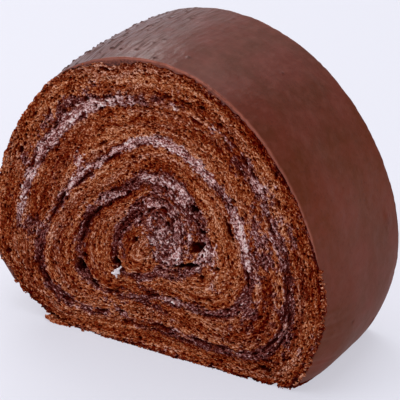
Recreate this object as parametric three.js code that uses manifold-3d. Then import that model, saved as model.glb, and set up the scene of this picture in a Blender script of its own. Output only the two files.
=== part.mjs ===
// A thick slice of chocolate swiss roll, lying as it was cut from the log.
//
// Millimetres, +Z up. X runs across the roll, Y along it; the two cut faces look along -Y and +Y.
// The origin is on the table, under the middle of the slice.
//
// Every curve of the section is polar: a "turn" counts clockwise from the left of the front cut,
// so 0 is left, 0.25 the top, 0.5 right, 0.75 the base, and 1 to 2 is the next winding inwards.

import * as THREE from 'three';
import { mergeVertices } from 'three/addons/utils/BufferGeometryUtils.js';
import Module from 'manifold-3d';

const wasm = await Module();
wasm.setup();

// ---- Driving dimensions ------------------------------------------------------------------------

const SLICE_LENGTH = 40;
const GAP = 0.3; // between neighbouring pieces

// A soft log sags, so its circles become oval, three-cornered with the apex up, and a little square.
const OUTLINE = {
  middle: new THREE.Vector2(0, 32.1),
  radius: 49.1,
  pitch: 0,
  oval: 0.031,
  tilt: 0,
  triangle: 0.056,
  square: 0.013,
};
const SWIRL = {
  middle: new THREE.Vector2(0.4, 32.4),
  radius: 41.2,
  pitch: 10.3,
  oval: 0.104,
  tilt: 0.037,
  triangle: 0.125,
  square: 0.042,
};

// The lower left edge is squashed to a slope, from the table at x = -BEVEL_FOOT.
const BEVEL_FOOT = 33.3;
const BEVEL_SLOPE = 0.91;
const BEVEL_SOFTNESS = 0.5;
const NEVER_MET = 0.01; // stands for the slope's direction where it faces away

// Under the roll each winding of the filling lies flat: its lowest level, how far that rises in
// a turn, and how softly the round part meets it.
const UNDERSIDE = { level: 6.2, rise: 6.5, softness: 0.8 };

// Places where the windings were pressed in or out of true while the cake was rolled.
const PUSHES = [
  { turn: -0.06, out: -4.5, reach: 0.045 },
  { turn: 0.15, out: 1.5, reach: 0.08 },
  { turn: 0.5, out: 1, reach: 0.05 },
  { turn: 0.75, out: 1.2, reach: 0.04 },
  { turn: 1.12, out: -1.3, reach: 0.04 },
  { turn: 1.2, out: -1.5, reach: 0.08 },
  { turn: 1.65, out: -3, reach: 0.05 },
  { turn: 2.15, out: -2.5, reach: 0.05 },
  { turn: 2.35, out: -1.5, reach: 0.04 },
  { turn: 2.6, out: -5, reach: 0.07 },
  { turn: 2.85, out: 3, reach: 0.05 },
  { turn: 3.3, out: 3.5, reach: 0.08 },
  { turn: 3.7, out: 2.4, reach: 0.15 },
];

// The filling: a thin smear with thicker pools.
const CREAM_START = -0.07;
const CREAM_END = 3.82;
const CREAM_THICKNESS = 1.5;
const CREAM_POOLS = [
  { turn: 0.15, out: 1.6, reach: 0.06 },
  { turn: 1.3, out: 1.9, reach: 0.1 },
  { turn: 2.31, out: 2.6, reach: 0.04 },
  { turn: 2.5, out: 1.8, reach: 0.03 },
  { turn: 3.22, out: 1.2, reach: 0.06 },
  { turn: 3.6, out: 1, reach: 0.1 },
];
const CREAM_STEP = 0.014; // turns
const CREAM_SINK = 0.4; // how far it lies behind the crumb at a cut

// The coat: a poured chocolate skin over the top and sides, left open under the base.
const COAT_START = -0.079;
const COAT_END = 0.6;
const COAT_THICKNESS = 1.2;
const COAT_POOLS = [
  { turn: 0.21, out: 1, reach: 0.05 },
  { turn: -0.06, out: 0.7, reach: 0.03 },
];
const COAT_STEP = 0.0125; // turns
const COAT_ROWS = 9; // along the roll
const COAT_WAVE = 0.35;

const LOG_GIRTH = 290; // round the outline, roughly
const OUTLINE_STEPS = 90;

// The cut crumb: how rough the two cuts are, and the pits scattered over them.
const CRUMB_RELIEF = 0.6;
const CRUMB_FINENESS = 2.2; // against the coat's slow waves
const PITS_A_CUT = 34;
const PIT_RADIUS = { smallest: 0.8, largest: 1.7 };
const PIT_FLATNESS = 0.75;
const PIT_ZONE = { inner: 0.2, outer: 0.92 }; // shares of the way from the middle to the edge
const PIT_SEED = 11;

// Slow waves of any uneven surface: how fast each runs along the surface's two ways, in radians
// for each millimetre, and where it starts.
const WAVES = [
  { u: 0.31, v: 0.17, start: 0 },
  { u: -0.41, v: 0.23, start: 1.3 },
  { u: 0.53, v: 0.67, start: 4.1 },
];

// Tears and air pockets in each cut: place, half width and half height, slant in degrees, depth.
const FRONT_TEARS = [
  { x: -22.8, z: 18.2, wide: 1, high: 3, slant: -20, deep: 5 },
  { x: -11.7, z: 23, wide: 1.2, high: 1.5, slant: 0, deep: 4 },
  { x: 8.7, z: 27.6, wide: 4.6, high: 0.9, slant: 24, deep: 6 },
  { x: 12.4, z: 33.6, wide: 2.7, high: 2, slant: 30, deep: 5 },
  { x: 11.2, z: 44, wide: 1, high: 1.5, slant: 0, deep: 3 },
  { x: 22, z: 40, wide: 0.8, high: 2.4, slant: -15, deep: 3 },
  { x: 32.4, z: 3.8, wide: 2.2, high: 0.9, slant: -12, deep: 3 },
  { x: -40.8, z: 48.4, wide: 1.1, high: 1.6, slant: -30, deep: 2.5 },
];
const BACK_TEARS = [
  { x: -13.5, z: 45.5, wide: 3.2, high: 1, slant: 42, deep: 4 },
  { x: 6.5, z: 31, wide: 2.4, high: 1.7, slant: 12, deep: 5 },
  { x: 27.6, z: 21, wide: 1, high: 3, slant: 14, deep: 4 },
  { x: -31, z: 17.5, wide: 1.1, high: 2.4, slant: -18, deep: 4 },
  { x: 13, z: 69, wide: 2, high: 1, slant: -14, deep: 3 },
];

// ---- Curves of the section ---------------------------------------------------------------------

// The sum of the bumps { turn, out, reach } at a turn, each a bell curve.
function bumps(list, turn) {
  const bell = ({ turn: at, out, reach }) => out * Math.exp(-0.5 * ((turn - at) / reach) ** 2);
  return list.reduce((sum, bump) => sum + bell(bump), 0);
}

// A circle whose radius shrinks by a pitch each turn, made oval, three-cornered and square.
function saggedRadius({ radius, pitch, oval, tilt, triangle, square }, turn) {
  const angle = 2 * Math.PI * turn;
  const ovalPart = oval * Math.cos(2 * (angle + 2 * Math.PI * tilt));
  const cornerPart = triangle * Math.sin(3 * angle) + square * Math.cos(4 * angle);
  return (radius - pitch * turn) * (1 + ovalPart - cornerPart);
}

function polar(middle, turn, radius) {
  const angle = 2 * Math.PI * turn;
  return new THREE.Vector2(middle.x - radius * Math.cos(angle), middle.y + radius * Math.sin(angle));
}

// The outer edge of the cake, inset towards the middle, with its slope at the lower left and
// its flat base on the table.
function outlinePoint(turn, inset = 0) {
  const angle = 2 * Math.PI * turn;
  const round = saggedRadius(OUTLINE, turn);
  const towardsSlope = BEVEL_SLOPE * Math.cos(angle) - Math.sin(angle);
  const toSlope = (OUTLINE.middle.y + BEVEL_SLOPE * BEVEL_FOOT) / Math.max(towardsSlope, NEVER_MET);
  const nearer = Math.min(round, toSlope);
  const farther = Math.max(round, toSlope);
  const blend = BEVEL_SOFTNESS * Math.log(1 + Math.exp((nearer - farther) / BEVEL_SOFTNESS));
  const point = polar(OUTLINE.middle, turn, nearer - blend - inset);
  point.y = Math.max(point.y, 0);
  return point;
}

// The middle line of the filling.
function swirlPoint(turn) {
  const point = polar(SWIRL.middle, turn, saggedRadius(SWIRL, turn) + bumps(PUSHES, turn));
  const { level, rise, softness } = UNDERSIDE;
  const floor = level + rise * (turn - 0.75);
  point.y = floor + softness * Math.log(1 + Math.exp((point.y - floor) / softness));
  return point;
}

function swirlNormal(turn) {
  const step = 0.002;
  const along = swirlPoint(turn + step).sub(swirlPoint(turn - step)).normalize();
  return new THREE.Vector2(-along.y, along.x); // outwards, away from the middle
}

function coatThickness(turn) {
  return COAT_THICKNESS + bumps(COAT_POOLS, turn);
}

// The closed outline of the filling, or of the slot that holds it when it is given some room.
function ribbon(start, end, room) {
  const outer = [];
  const inner = [];
  const steps = Math.round((end - start) / CREAM_STEP);
  for (let i = 0; i <= steps; i++) {
    const turn = start + ((end - start) * i) / steps;
    const half = (CREAM_THICKNESS + bumps(CREAM_POOLS, turn)) / 2 + room;
    const normal = swirlNormal(turn);
    outer.push(swirlPoint(turn).addScaledVector(normal, half));
    inner.push(swirlPoint(turn).addScaledVector(normal, -half));
  }
  return [...outer, ...inner.reverse()];
}

// The sponge's outer edge: it lies inside the coat, and comes out to the surface where that stops.
function spongeOutline() {
  const points = [];
  for (let i = 0; i < OUTLINE_STEPS; i++) {
    const turn = COAT_START + i / OUTLINE_STEPS;
    const coated = turn <= COAT_END + COAT_STEP;
    points.push(outlinePoint(turn, coated ? coatThickness(turn) + GAP : 0));
  }
  return points;
}

// The coat's outline at one place along the roll: smooth inside, gently wavy outside.
function coatOutline(y) {
  const outer = [];
  const inner = [];
  const steps = Math.round((COAT_END - COAT_START) / COAT_STEP);
  for (let i = 0; i <= steps; i++) {
    const turn = COAT_START + ((COAT_END - COAT_START) * i) / steps;
    outer.push(outlinePoint(turn, COAT_WAVE * unevenness(turn * LOG_GIRTH, y)));
    inner.push(outlinePoint(turn, coatThickness(turn)));
  }
  return [...outer, ...inner.reverse()];
}

// ---- Solids ------------------------------------------------------------------------------------

// The mean of the slow waves, between 0 and 1, at u and v millimetres along a surface's two ways.
function unevenness(u, v) {
  const sum = WAVES.reduce((total, wave) => total + Math.sin(wave.u * u + wave.v * v + wave.start), 0);
  return 0.5 + (0.5 * sum) / WAVES.length;
}

// Lofts sections of equal length, given from front to back, into one closed solid.
function loft(sections, places) {
  const count = sections[0].length;
  const last = sections.length - 1;
  const positions = sections.flatMap((section, row) => section.flatMap((p) => [p.x, places[row], p.y]));
  const index = [];
  const cap = THREE.ShapeUtils.triangulateShape(sections[0], []);
  const clockwise = THREE.ShapeUtils.area(sections[0]) < 0;
  const face = (a, b, c) => index.push(...(clockwise ? [a, c, b] : [a, b, c]));
  for (const [a, b, c] of cap) {
    const facesFront = THREE.ShapeUtils.area([a, b, c].map((i) => sections[0][i])) > 0 !== clockwise;
    const [p, q] = facesFront ? [b, c] : [c, b];
    face(a, p, q);
    face(last * count + a, last * count + q, last * count + p);
  }
  for (let row = 0; row < last; row++) {
    for (let i = 0; i < count; i++) {
      const near = row * count + i;
      const next = row * count + ((i + 1) % count);
      face(near, near + count, next);
      face(next, near + count, next + count);
    }
  }
  const geometry = new THREE.BufferGeometry();
  geometry.setAttribute('position', new THREE.Float32BufferAttribute(positions, 3));
  geometry.setIndex(index);
  return geometry;
}

function slab(section, halfLength) {
  return loft([section, section], [-halfLength, halfLength]);
}

function toManifold(geometry) {
  const bare = geometry.clone();
  bare.deleteAttribute('normal');
  bare.deleteAttribute('uv');
  const merged = mergeVertices(bare);
  const vertProperties = new Float32Array(merged.attributes.position.array);
  const triVerts = new Uint32Array(merged.index.array);
  return new wasm.Manifold(new wasm.Mesh({ numProp: 3, vertProperties, triVerts }));
}

function toGeometry(manifold) {
  const { vertProperties, triVerts } = manifold.getMesh();
  const geometry = new THREE.BufferGeometry();
  geometry.setAttribute('position', new THREE.BufferAttribute(vertProperties, 3));
  geometry.setIndex(new THREE.BufferAttribute(triVerts, 1));
  return geometry;
}

// A rounded hollow, centred on a cut: side is -1 for the front and 1 for the back.
function hollow({ x, z, wide, high, slant, deep }, side, detail) {
  const geometry = new THREE.IcosahedronGeometry(1, detail);
  geometry.scale(wide, deep, high);
  geometry.rotateY(-THREE.MathUtils.degToRad(slant));
  geometry.translate(x, (side * SLICE_LENGTH) / 2, z);
  return toManifold(geometry);
}

// A repeatable stream of numbers between 0 and 1.
function randomStream(seed) {
  let state = seed;
  return () => {
    state = (state * 16807) % 2147483647;
    return state / 2147483647;
  };
}

// Small pits spread over both cuts, between the middle and the crust.
function scatteredPits() {
  const random = randomStream(PIT_SEED);
  const pits = [];
  for (const side of [-1, 1]) {
    for (let i = 0; i < PITS_A_CUT; i++) {
      const turn = (i + random()) / PITS_A_CUT;
      const share = THREE.MathUtils.lerp(PIT_ZONE.inner, PIT_ZONE.outer, Math.sqrt(random()));
      const place = OUTLINE.middle.clone().lerp(outlinePoint(turn), share);
      const size = THREE.MathUtils.lerp(PIT_RADIUS.smallest, PIT_RADIUS.largest, random());
      const slant = 180 * random();
      const pit = { x: place.x, z: place.y, wide: size, high: PIT_FLATNESS * size, slant, deep: size };
      pits.push(hollow(pit, side, 0));
    }
  }
  return pits;
}

function tears() {
  const front = FRONT_TEARS.map((tear) => hollow(tear, -1, 1));
  const back = BACK_TEARS.map((tear) => hollow(tear, 1, 1));
  return [...front, ...back];
}

function cutAway(solid, pieces) {
  return pieces.reduce((left, piece) => left.subtract(piece), solid);
}

// Presses the points of both cuts in by an uneven depth.
function roughenCuts(geometry, halfLength, depth) {
  const position = geometry.attributes.position;
  const onCut = halfLength - 0.001;
  for (let i = 0; i < position.count; i++) {
    const y = position.getY(i);
    if (Math.abs(y) < onCut) continue;
    const side = Math.sign(y);
    const u = CRUMB_FINENESS * (position.getX(i) + side * SLICE_LENGTH);
    const press = depth * unevenness(u, CRUMB_FINENESS * position.getZ(i));
    position.setY(i, y - side * press);
  }
  return geometry;
}

function part(name, geometry, color, roughness) {
  const flat = geometry.toNonIndexed();
  flat.computeVertexNormals();
  const mesh = new THREE.Mesh(flat, new THREE.MeshStandardMaterial({ color, roughness, metalness: 0 }));
  mesh.name = name;
  return mesh;
}

// ---- Pieces ------------------------------------------------------------------------------------

// One sheet of sponge, rolled up: the log's outline less the slot for its filling, which comes
// out at the lower left, where the sheet ends.
function sponge() {
  const half = SLICE_LENGTH / 2;
  const log = toManifold(slab(spongeOutline(), half));
  const slot = toManifold(slab(ribbon(CREAM_START - 0.06, CREAM_END + 0.01, GAP), half + 1));
  const rolled = cutAway(log, [slot, ...tears(), ...scatteredPits()]);
  return part('sponge', roughenCuts(toGeometry(rolled), half, CRUMB_RELIEF), 0x6b3a22, 0.95);
}

function cream() {
  const half = SLICE_LENGTH / 2 - CREAM_SINK;
  const smear = toManifold(slab(ribbon(CREAM_START, CREAM_END, 0), half));
  const torn = cutAway(smear, tears());
  return part('cream', roughenCuts(toGeometry(torn), half, CRUMB_RELIEF), 0x9c7f78, 0.8);
}

function chocolateCoat() {
  const places = Array.from({ length: COAT_ROWS }, (_, row) => SLICE_LENGTH * (row / (COAT_ROWS - 1) - 0.5));
  return part('chocolate_coat', loft(places.map(coatOutline), places), 0x5a3128, 0.45);
}

const swissRoll = new THREE.Group();
swissRoll.add(sponge(), cream(), chocolateCoat());

export default swissRoll;
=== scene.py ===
"""A thick slice of chocolate swiss roll: the looks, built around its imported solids.

Lengths are millimetres until a mesh is made, and then metres. X runs across the roll, Y along it,
Z up. The two cuts face -Y (front) and +Y (back). A "turn" counts clockwise round the front cut
from its left: 0 left, 0.25 top, 0.5 right, 0.75 base, and 1 to 2 is the next winding inwards.
"""

import bpy
import numpy as np
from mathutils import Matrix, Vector


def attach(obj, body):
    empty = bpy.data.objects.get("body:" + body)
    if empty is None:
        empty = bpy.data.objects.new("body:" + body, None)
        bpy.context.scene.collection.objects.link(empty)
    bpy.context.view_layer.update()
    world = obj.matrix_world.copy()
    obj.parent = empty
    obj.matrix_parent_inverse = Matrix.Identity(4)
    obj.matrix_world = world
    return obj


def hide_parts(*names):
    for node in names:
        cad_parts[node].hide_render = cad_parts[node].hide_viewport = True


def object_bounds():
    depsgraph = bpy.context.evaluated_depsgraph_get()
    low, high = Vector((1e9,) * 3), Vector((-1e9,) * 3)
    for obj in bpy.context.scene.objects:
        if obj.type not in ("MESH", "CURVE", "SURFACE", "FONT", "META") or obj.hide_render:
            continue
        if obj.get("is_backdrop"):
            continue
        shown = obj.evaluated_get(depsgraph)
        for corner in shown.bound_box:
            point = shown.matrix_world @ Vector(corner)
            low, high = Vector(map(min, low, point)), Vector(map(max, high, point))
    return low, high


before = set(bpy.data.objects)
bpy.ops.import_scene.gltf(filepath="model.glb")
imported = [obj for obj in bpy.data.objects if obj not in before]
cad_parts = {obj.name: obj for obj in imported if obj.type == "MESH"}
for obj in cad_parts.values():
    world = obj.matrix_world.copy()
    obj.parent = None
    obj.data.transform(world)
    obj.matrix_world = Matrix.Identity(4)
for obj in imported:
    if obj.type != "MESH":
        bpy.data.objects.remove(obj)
cad_low, cad_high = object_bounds()

# ---- The sponge sheet --------------------------------------------------------------------------
# One sheet of chocolate sponge, whisked and baked about 10 mm thick, spread with cream and rolled
# up soft. Its own weight flattened the windings underneath. A knife cut both ends, which opened
# the bubbles and tore the crumb where the roll is hollow.

MM = 0.001
FULL_TURN = 2 * np.pi
HALF_LENGTH = (cad_high.y - cad_low.y) / 2 / MM
ROUND_LOG = 300  # mm, about the way round the log, which makes a length of a turn

# A circle that shrinks by a pitch each turn, made oval, three-cornered and a little square.
OUTLINE = dict(x=0, z=32.1, radius=49.1, pitch=0, oval=0.031, tilt=0, triangle=0.056, square=0.013)
SWIRL = dict(
    x=0.4, z=32.4, radius=41.2, pitch=10.3, oval=0.104, tilt=0.037, triangle=0.125, square=0.042
)
MIDDLE = np.array([SWIRL["x"], SWIRL["z"]])
HEART = 0.05  # mm, how near to the middle the innermost crumb comes

# Places where the windings were pressed out of true: turn, outwards, reach in turns.
PUSHES = [
    (-0.06, -4.5, 0.045), (0.085, 1.7, 0.045), (0.16, 1.4, 0.03), (0.41, -0.3, 0.03),
    (0.5, 0.2, 0.05), (0.75, 1.2, 0.04), (0.93, 1.2, 0.03), (1.12, -1.3, 0.04),
    (1.2, -1.5, 0.08), (1.25, 1.1, 0.03), (1.34, -0.9, 0.04), (1.65, -3, 0.05),
    (2.15, -2.5, 0.05), (2.35, -1.5, 0.04), (2.6, -5, 0.07), (2.85, 3, 0.05), (3.3, 3.5, 0.08),
    (3.7, 2.4, 0.15),
]
UNDERSIDE = dict(level=6.2, rise=6.5, softness=0.8)
BEVEL = dict(slope=0.91, foot=33.3, softness=0.5)  # the bare lower left of the log

# The filling's thickness, the turns between which it is full, and its pools: turn, extra
# thickness, reach.
CREAM_THICKNESS = 1.7
CREAM_THINNEST = 0.08  # to each side of the middle line
CREAM_FULL = (-0.02, 3.74)
CREAM_POOLS = [
    (-0.05, -1, 0.02), (0.15, 0.9, 0.06), (0.8, -0.5, 0.12), (1.25, 0.4, 0.05),
    (1.36, 0.5, 0.03), (1.43, 0.9, 0.025), (1.87, -0.6, 0.12), (2.31, 2.6, 0.04),
    (2.5, 1.8, 0.03), (3.22, 1.2, 0.06), (3.6, 1, 0.1),
]
SHEET_START = -0.09
SHEET_END = 3.82
FRAY = 0.35  # how far crumb and cream run into each other
# Where a border of the filling came open, or stayed shut: turn, share, reach.
OPEN_SEAMS = [
    (0.54, 0.4, 0.05), (0.9, 0.3, 0.04), (1.36, -0.6, 0.08), (1.5, 0.3, 0.06), (1.93, 0.3, 0.04),
]

COAT_START = -0.079
COAT_END = 0.6
COAT_STOP = 0.004  # turns in which it comes to its end
COAT_THICKNESS = 0.3  # what shows of it beside the crumb that clings to its inner side
COAT_POOLS = [
    (-0.065, 0.7, 0.02), (0.205, 0.9, 0.022), (0.26, 0.4, 0.05), (0.36, 0.2, 0.07),
    (0.6, -0.15, 0.12),
]

# How far the log stands out from its even edge at the front cut, halfway, and at the back cut:
# turn, outwards, reach. The cut edges are pressed in, and the log swells between them.
SWELLING = [
    [
        (-0.115, -0.9, 0.006), (-0.08, 1, 0.01), (0.07, 0.3, 0.02), (0.15, 0.9, 0.035),
        (0.4, -1.2, 0.06), (0.5, -1, 0.04), (0.57, -2, 0.03),
    ],
    [
        (-0.04, 0.5, 0.03), (0.16, 2.3, 0.05), (0.25, 0.4, 0.05), (0.36, 0.6, 0.07),
        (0.57, 1.4, 0.04),
    ],
    [
        (0.16, 1, 0.05), (0.22, 0.3, 0.04), (0.43, 0.8, 0.05), (0.56, -0.9, 0.03),
    ],
]
PRESSED_IN = 0.35  # share of the log's length that each pressed edge reaches in
FOOT_FORWARD = 0.8  # the foot of the front cut leans out by this much

# Tears and air pockets: x, z, half width, half height, slant in degrees, depth.
FRONT_TEARS = [
    (-23, 19.2, 1.3, 2.5, 25, 5), (-21.8, 22.4, 1, 0.9, 0, 3), (-19, 14.6, 0.6, 1.5, 50, 2.5),
    (-12, 23.2, 1.3, 1.4, 0, 4), (-6, 31, 0.8, 1, -20, 2.5), (-28, 38.2, 0.6, 1.6, -25, 2),
    (9.2, 27.2, 3.9, 0.75, 17, 6), (12.6, 33.4, 2.4, 1.7, 30, 3), (11.7, 44, 1.3, 1.3, 0, 3),
    (14.2, 38, 1.1, 0.7, 0, 2.5), (21.8, 40.6, 0.7, 3.4, 19, 3), (23, 49, 1, 0.7, 0, 2),
    (18.4, 28.6, 0.9, 0.6, 20, 2), (13.6, 25, 0.9, 0.6, 10, 2), (4, 37.6, 0.6, 1, 0, 1.6),
    (16.2, 19, 1, 0.6, -20, 1.8), (32.4, 3.8, 2.2, 0.9, -12, 3),
    (-40.8, 48.4, 0.8, 1.2, -30, 2.2), (-46.3, 17.5, 1, 0.9, 0, 1.8), (13.7, 72, 1.1, 0.6, 0, 2),
    (19.2, 68.5, 0.9, 0.7, -20, 2), (35.7, 51.3, 0.7, 1, 20, 1.8),
    (34.7, 58.8, 0.6, 0.9, 30, 1.8), (-20, 67.5, 0.8, 0.6, 0, 1.8),
    (-17.5, 66, 0.6, 0.5, 0, 1.5), (-24.5, 64.5, 0.6, 0.5, 0, 1.5),
    (-27, 62.5, 0.8, 0.6, 30, 1.8), (-30, 57, 0.6, 0.8, 0, 1.6), (-14, 76.5, 1.2, 0.6, 10, 1.8),
    (-31, 1.5, 2.2, 0.4, -12, 3), (38.9, 21, 4, 0.5, -92, 1.4), (37, 13, 3, 0.4, 63, 1.2),
    (18, 6.6, 8, 0.4, 0, 1), (-28.5, 9.2, 4.5, 0.5, -29, 1.4), (-17.5, 36.5, 2.5, 0.5, 50, 1.6),
    (-28.5, 37.5, 1.1, 0.5, 58, 1.8), (26.3, 60.5, 1.8, 0.5, -50, 1),
    (24.8, 57, 0.9, 0.8, 0, 1.2), (4, 73, 1.6, 0.5, 10, 1.2), (22.3, 65.8, 0.8, 0.7, 0, 1.5),
    (10, 72.3, 1.2, 0.5, 0, 1.8), (20.5, 64.3, 1.8, 0.5, -50, 1.6),
    (-15.5, 56, 1.6, 0.4, 35, 1.4),
]
BACK_TEARS = [
    (-13.5, 45.5, 3.2, 1, 42, 4), (6.5, 31, 2.4, 1.7, 12, 5), (27.6, 21, 1, 3, 14, 4),
    (-31, 17.5, 1.1, 2.4, -18, 4), (13, 69, 2, 1, -14, 3),
]

DEEPEST_PORE = 0.9  # mm below the knife's plane, where the pores' painted shade is darkest
NOISE_SPAN = 128  # the noise lattices repeat after this many cells
NOISE_SHIFT = 1000.0  # keeps every lattice coordinate above zero


def bumps(turn, places):
    """Sum of bell curves: out times e to the minus half of ((turn - at) / reach) squared."""
    at, out, reach = np.array(places, float).T
    return (out * np.exp(-0.5 * ((turn[..., None] - at) / reach) ** 2)).sum(-1)


def step_up(value, start, end):
    """0 before start, 1 after end, and 3s^2 - 2s^3 of the share s between them."""
    share = np.clip((value - start) / (end - start), 0, 1)
    return share * share * (3 - 2 * share)


def length(vectors):
    """The length of each vector, with its last axis kept."""
    return np.linalg.norm(vectors, axis=-1, keepdims=True)


def sagged_radius(turn, shape):
    """(radius - pitch * turn) * (1 + oval cos 2(a + tilt) - triangle sin 3a - square cos 4a)."""
    angle = FULL_TURN * turn
    oval = shape["oval"] * np.cos(2 * (angle + FULL_TURN * shape["tilt"]))
    corners = shape["triangle"] * np.sin(3 * angle) + shape["square"] * np.cos(4 * angle)
    return (shape["radius"] - shape["pitch"] * turn) * (1 + oval - corners)


def outline(turn, inset):
    """The log's edge: the nearer of the sagged circle and the slope, and never below the table."""
    angle = FULL_TURN * turn
    rounded = sagged_radius(turn, OUTLINE)
    facing = np.maximum(BEVEL["slope"] * np.cos(angle) - np.sin(angle), 0.01)
    slope = (OUTLINE["z"] + BEVEL["slope"] * BEVEL["foot"]) / facing
    nearer, farther = np.minimum(rounded, slope), np.maximum(rounded, slope)
    blend = BEVEL["softness"] * np.log1p(np.exp((nearer - farther) / BEVEL["softness"]))
    radius = nearer - blend - inset
    x = OUTLINE["x"] - radius * np.cos(angle)
    z = OUTLINE["z"] + radius * np.sin(angle)
    return np.stack([x, np.maximum(z, 0)], -1)


def swirl(turn):
    """The filling's middle line: the sagged spiral, above a floor that rises with each turn."""
    angle = FULL_TURN * turn
    radius = sagged_radius(turn, SWIRL) + bumps(turn, PUSHES)
    x = SWIRL["x"] - radius * np.cos(angle)
    z = SWIRL["z"] + radius * np.sin(angle)
    floor = UNDERSIDE["level"] + UNDERSIDE["rise"] * (turn - 0.75)
    softness = UNDERSIDE["softness"]
    return np.stack([x, floor + softness * np.logaddexp(0, (z - floor) / softness)], -1)


def lattice_noise(u, v, size, seed):
    """Smooth noise between 0 and 1: random values on a square lattice, blended by smooth steps."""
    table = np.random.default_rng(seed).random((NOISE_SPAN, NOISE_SPAN))
    u, v = u / size + NOISE_SHIFT, v / size + NOISE_SHIFT
    column, row = np.floor(u).astype(int), np.floor(v).astype(int)
    s, t = step_up(u - column, 0, 1), step_up(v - row, 0, 1)
    column, row = column % NOISE_SPAN, row % NOISE_SPAN
    next_column, next_row = (column + 1) % NOISE_SPAN, (row + 1) % NOISE_SPAN
    low = table[column, row] * (1 - s) + table[next_column, row] * s
    high = table[column, next_row] * (1 - s) + table[next_column, next_row] * s
    return low * (1 - t) + high * t


def layered_noise(u, v, *layers):
    """Sum of the layers of lattice noise: each one's weight, its size in mm and its seed."""
    return sum(weight * lattice_noise(u, v, size, seed) for weight, size, seed in layers)


def cream_half(turn):
    """Half the filling's thickness, thinning towards the sheet's two ends."""
    full = (CREAM_THICKNESS + bumps(turn, CREAM_POOLS)) / 2
    starting = step_up(turn, SHEET_START, CREAM_FULL[0])
    return full * starting * (1 - 0.8 * step_up(turn, CREAM_FULL[1], SHEET_END))


def cream_border(turn, side):
    """The filling's outer (side 1) or inner (side -1) frayed border, square to its middle line."""
    step = 0.002
    along = swirl(turn + step) - swirl(turn - step)
    outwards = np.stack([-along[..., 1], along[..., 0]], -1) / length(along)
    middle = swirl(turn)
    x, z = middle[..., 0], middle[..., 1]
    fray = layered_noise(x, z, (1, 1.1, 21 + side), (0.6, 3.1, 25 + side)) - 0.8
    reach = cream_half(turn) + 2 * FRAY * fray * step_up(turn, SHEET_START, 0)
    return middle + outwards * (side * np.maximum(reach, CREAM_THINNEST))[..., None]


def crease(turn, side, away):
    """Depth of the groove that opened along a border of the filling: a bell over the distance
    from it, in stretches that noise gives, a row of its own for each border."""
    broken = step_up(lattice_noise(ROUND_LOG * turn, 40 * side + 0 * turn, 5, 27), 0.55, 0.85)
    open_share = np.clip(broken + bumps(turn, OPEN_SEAMS), 0, 1)
    deepest = 1.1 if side < 0 else 0.7
    return deepest * open_share * np.exp(-((away / 0.5) ** 2)) * step_up(turn, 0, 0.05)


def coated(turn):
    """1 where the sheet wears its coat, and 0 beyond the coat's two ends."""
    begun = step_up(turn, COAT_START - COAT_STOP, COAT_START)
    return begun - step_up(turn, COAT_END, COAT_END + COAT_STOP)


def coat_inset(turn):
    """How far the sponge lies inside the log's edge: the ragged thickness of the coat there."""
    arc = ROUND_LOG * turn
    ragged = 0.3 + layered_noise(arc, 0 * arc, (0.7, 3.5, 28), (0.8, 1.2, 29))
    return np.maximum(COAT_THICKNESS + bumps(turn, COAT_POOLS), 0.1) * ragged * coated(turn)


def dragged(turn):
    """1 where the knife dragged crumb over the coat's edge: low on the right, and at the left."""
    return step_up(turn, 0.485, 0.515) + step_up(turn, -0.04, -0.02) - step_up(turn, 0.13, 0.16)


def coat_edge(turn, y):
    """How far along the roll the coat reaches: chipped, and at the front further in under crumb."""
    arc = ROUND_LOG * turn
    chips = layered_noise(arc, 0 * arc, (0.35, 3, 95), (0.25, 1.1, 96))
    return HALF_LENGTH - chips - (0.3 + 1.8 * chips) * dragged(turn) * (y < 0)


def moved_out(flat, distance):
    """Points moved straight away from the swirl's middle."""
    away = flat - MIDDLE
    return flat + away / length(away) * distance[..., None]


def swelling(turn, through):
    """How far the log's edge stands out: three sums of bells, weighed by the share from front to
    back. Turns are wrapped, so that those just below 1 count as below 0."""
    turn = (turn + 0.3) % 1 - 0.3
    front = np.clip(1 - through / PRESSED_IN, 0, 1) ** 2
    back = np.clip((through - (1 - PRESSED_IN)) / PRESSED_IN, 0, 1) ** 2
    weights = [front, 1 - front - back, back]
    return sum(weight * bumps(turn, places) for weight, places in zip(weights, SWELLING))


def sheet_borders(turn):
    """The sponge's outer and inner border at each turn.

    Outside lies the log's edge, and further in the filling of the turn before; inside lies the
    sheet's own filling, and past its end the middle. Borders that would cross are joined."""
    earlier = cream_border(np.maximum(turn - 1, SHEET_START), -1)
    outermost = (turn - 1 < SHEET_START)[..., None]
    outer = np.where(outermost, outline(turn, coat_inset(turn)), earlier)
    towards = outer - MIDDLE
    heart = MIDDLE + towards * (HEART / length(towards))
    own = cream_border(np.minimum(turn, SHEET_END), 1)
    inner = np.where((turn > SHEET_END)[..., None], heart, own)
    crossed = (turn < 0)[..., None] & (length(inner - MIDDLE) > length(towards))
    return outer, np.where(crossed, outer, inner)


def grain_direction(x, z):
    """Unit vector along the windings: square to the way to the middle, and level over the base,
    where the middle is drawn out sideways by up to 30 mm below a height of 22."""
    flat = 30 * np.clip((22 - z) / 16, 0, 1)
    across_x = np.sign(x) * np.maximum(np.abs(x) - flat, 0)
    across_z = z - SWIRL["z"]
    across = np.maximum(np.hypot(across_x, across_z), 0.5)
    return -across_z / across, across_x / across


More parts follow.
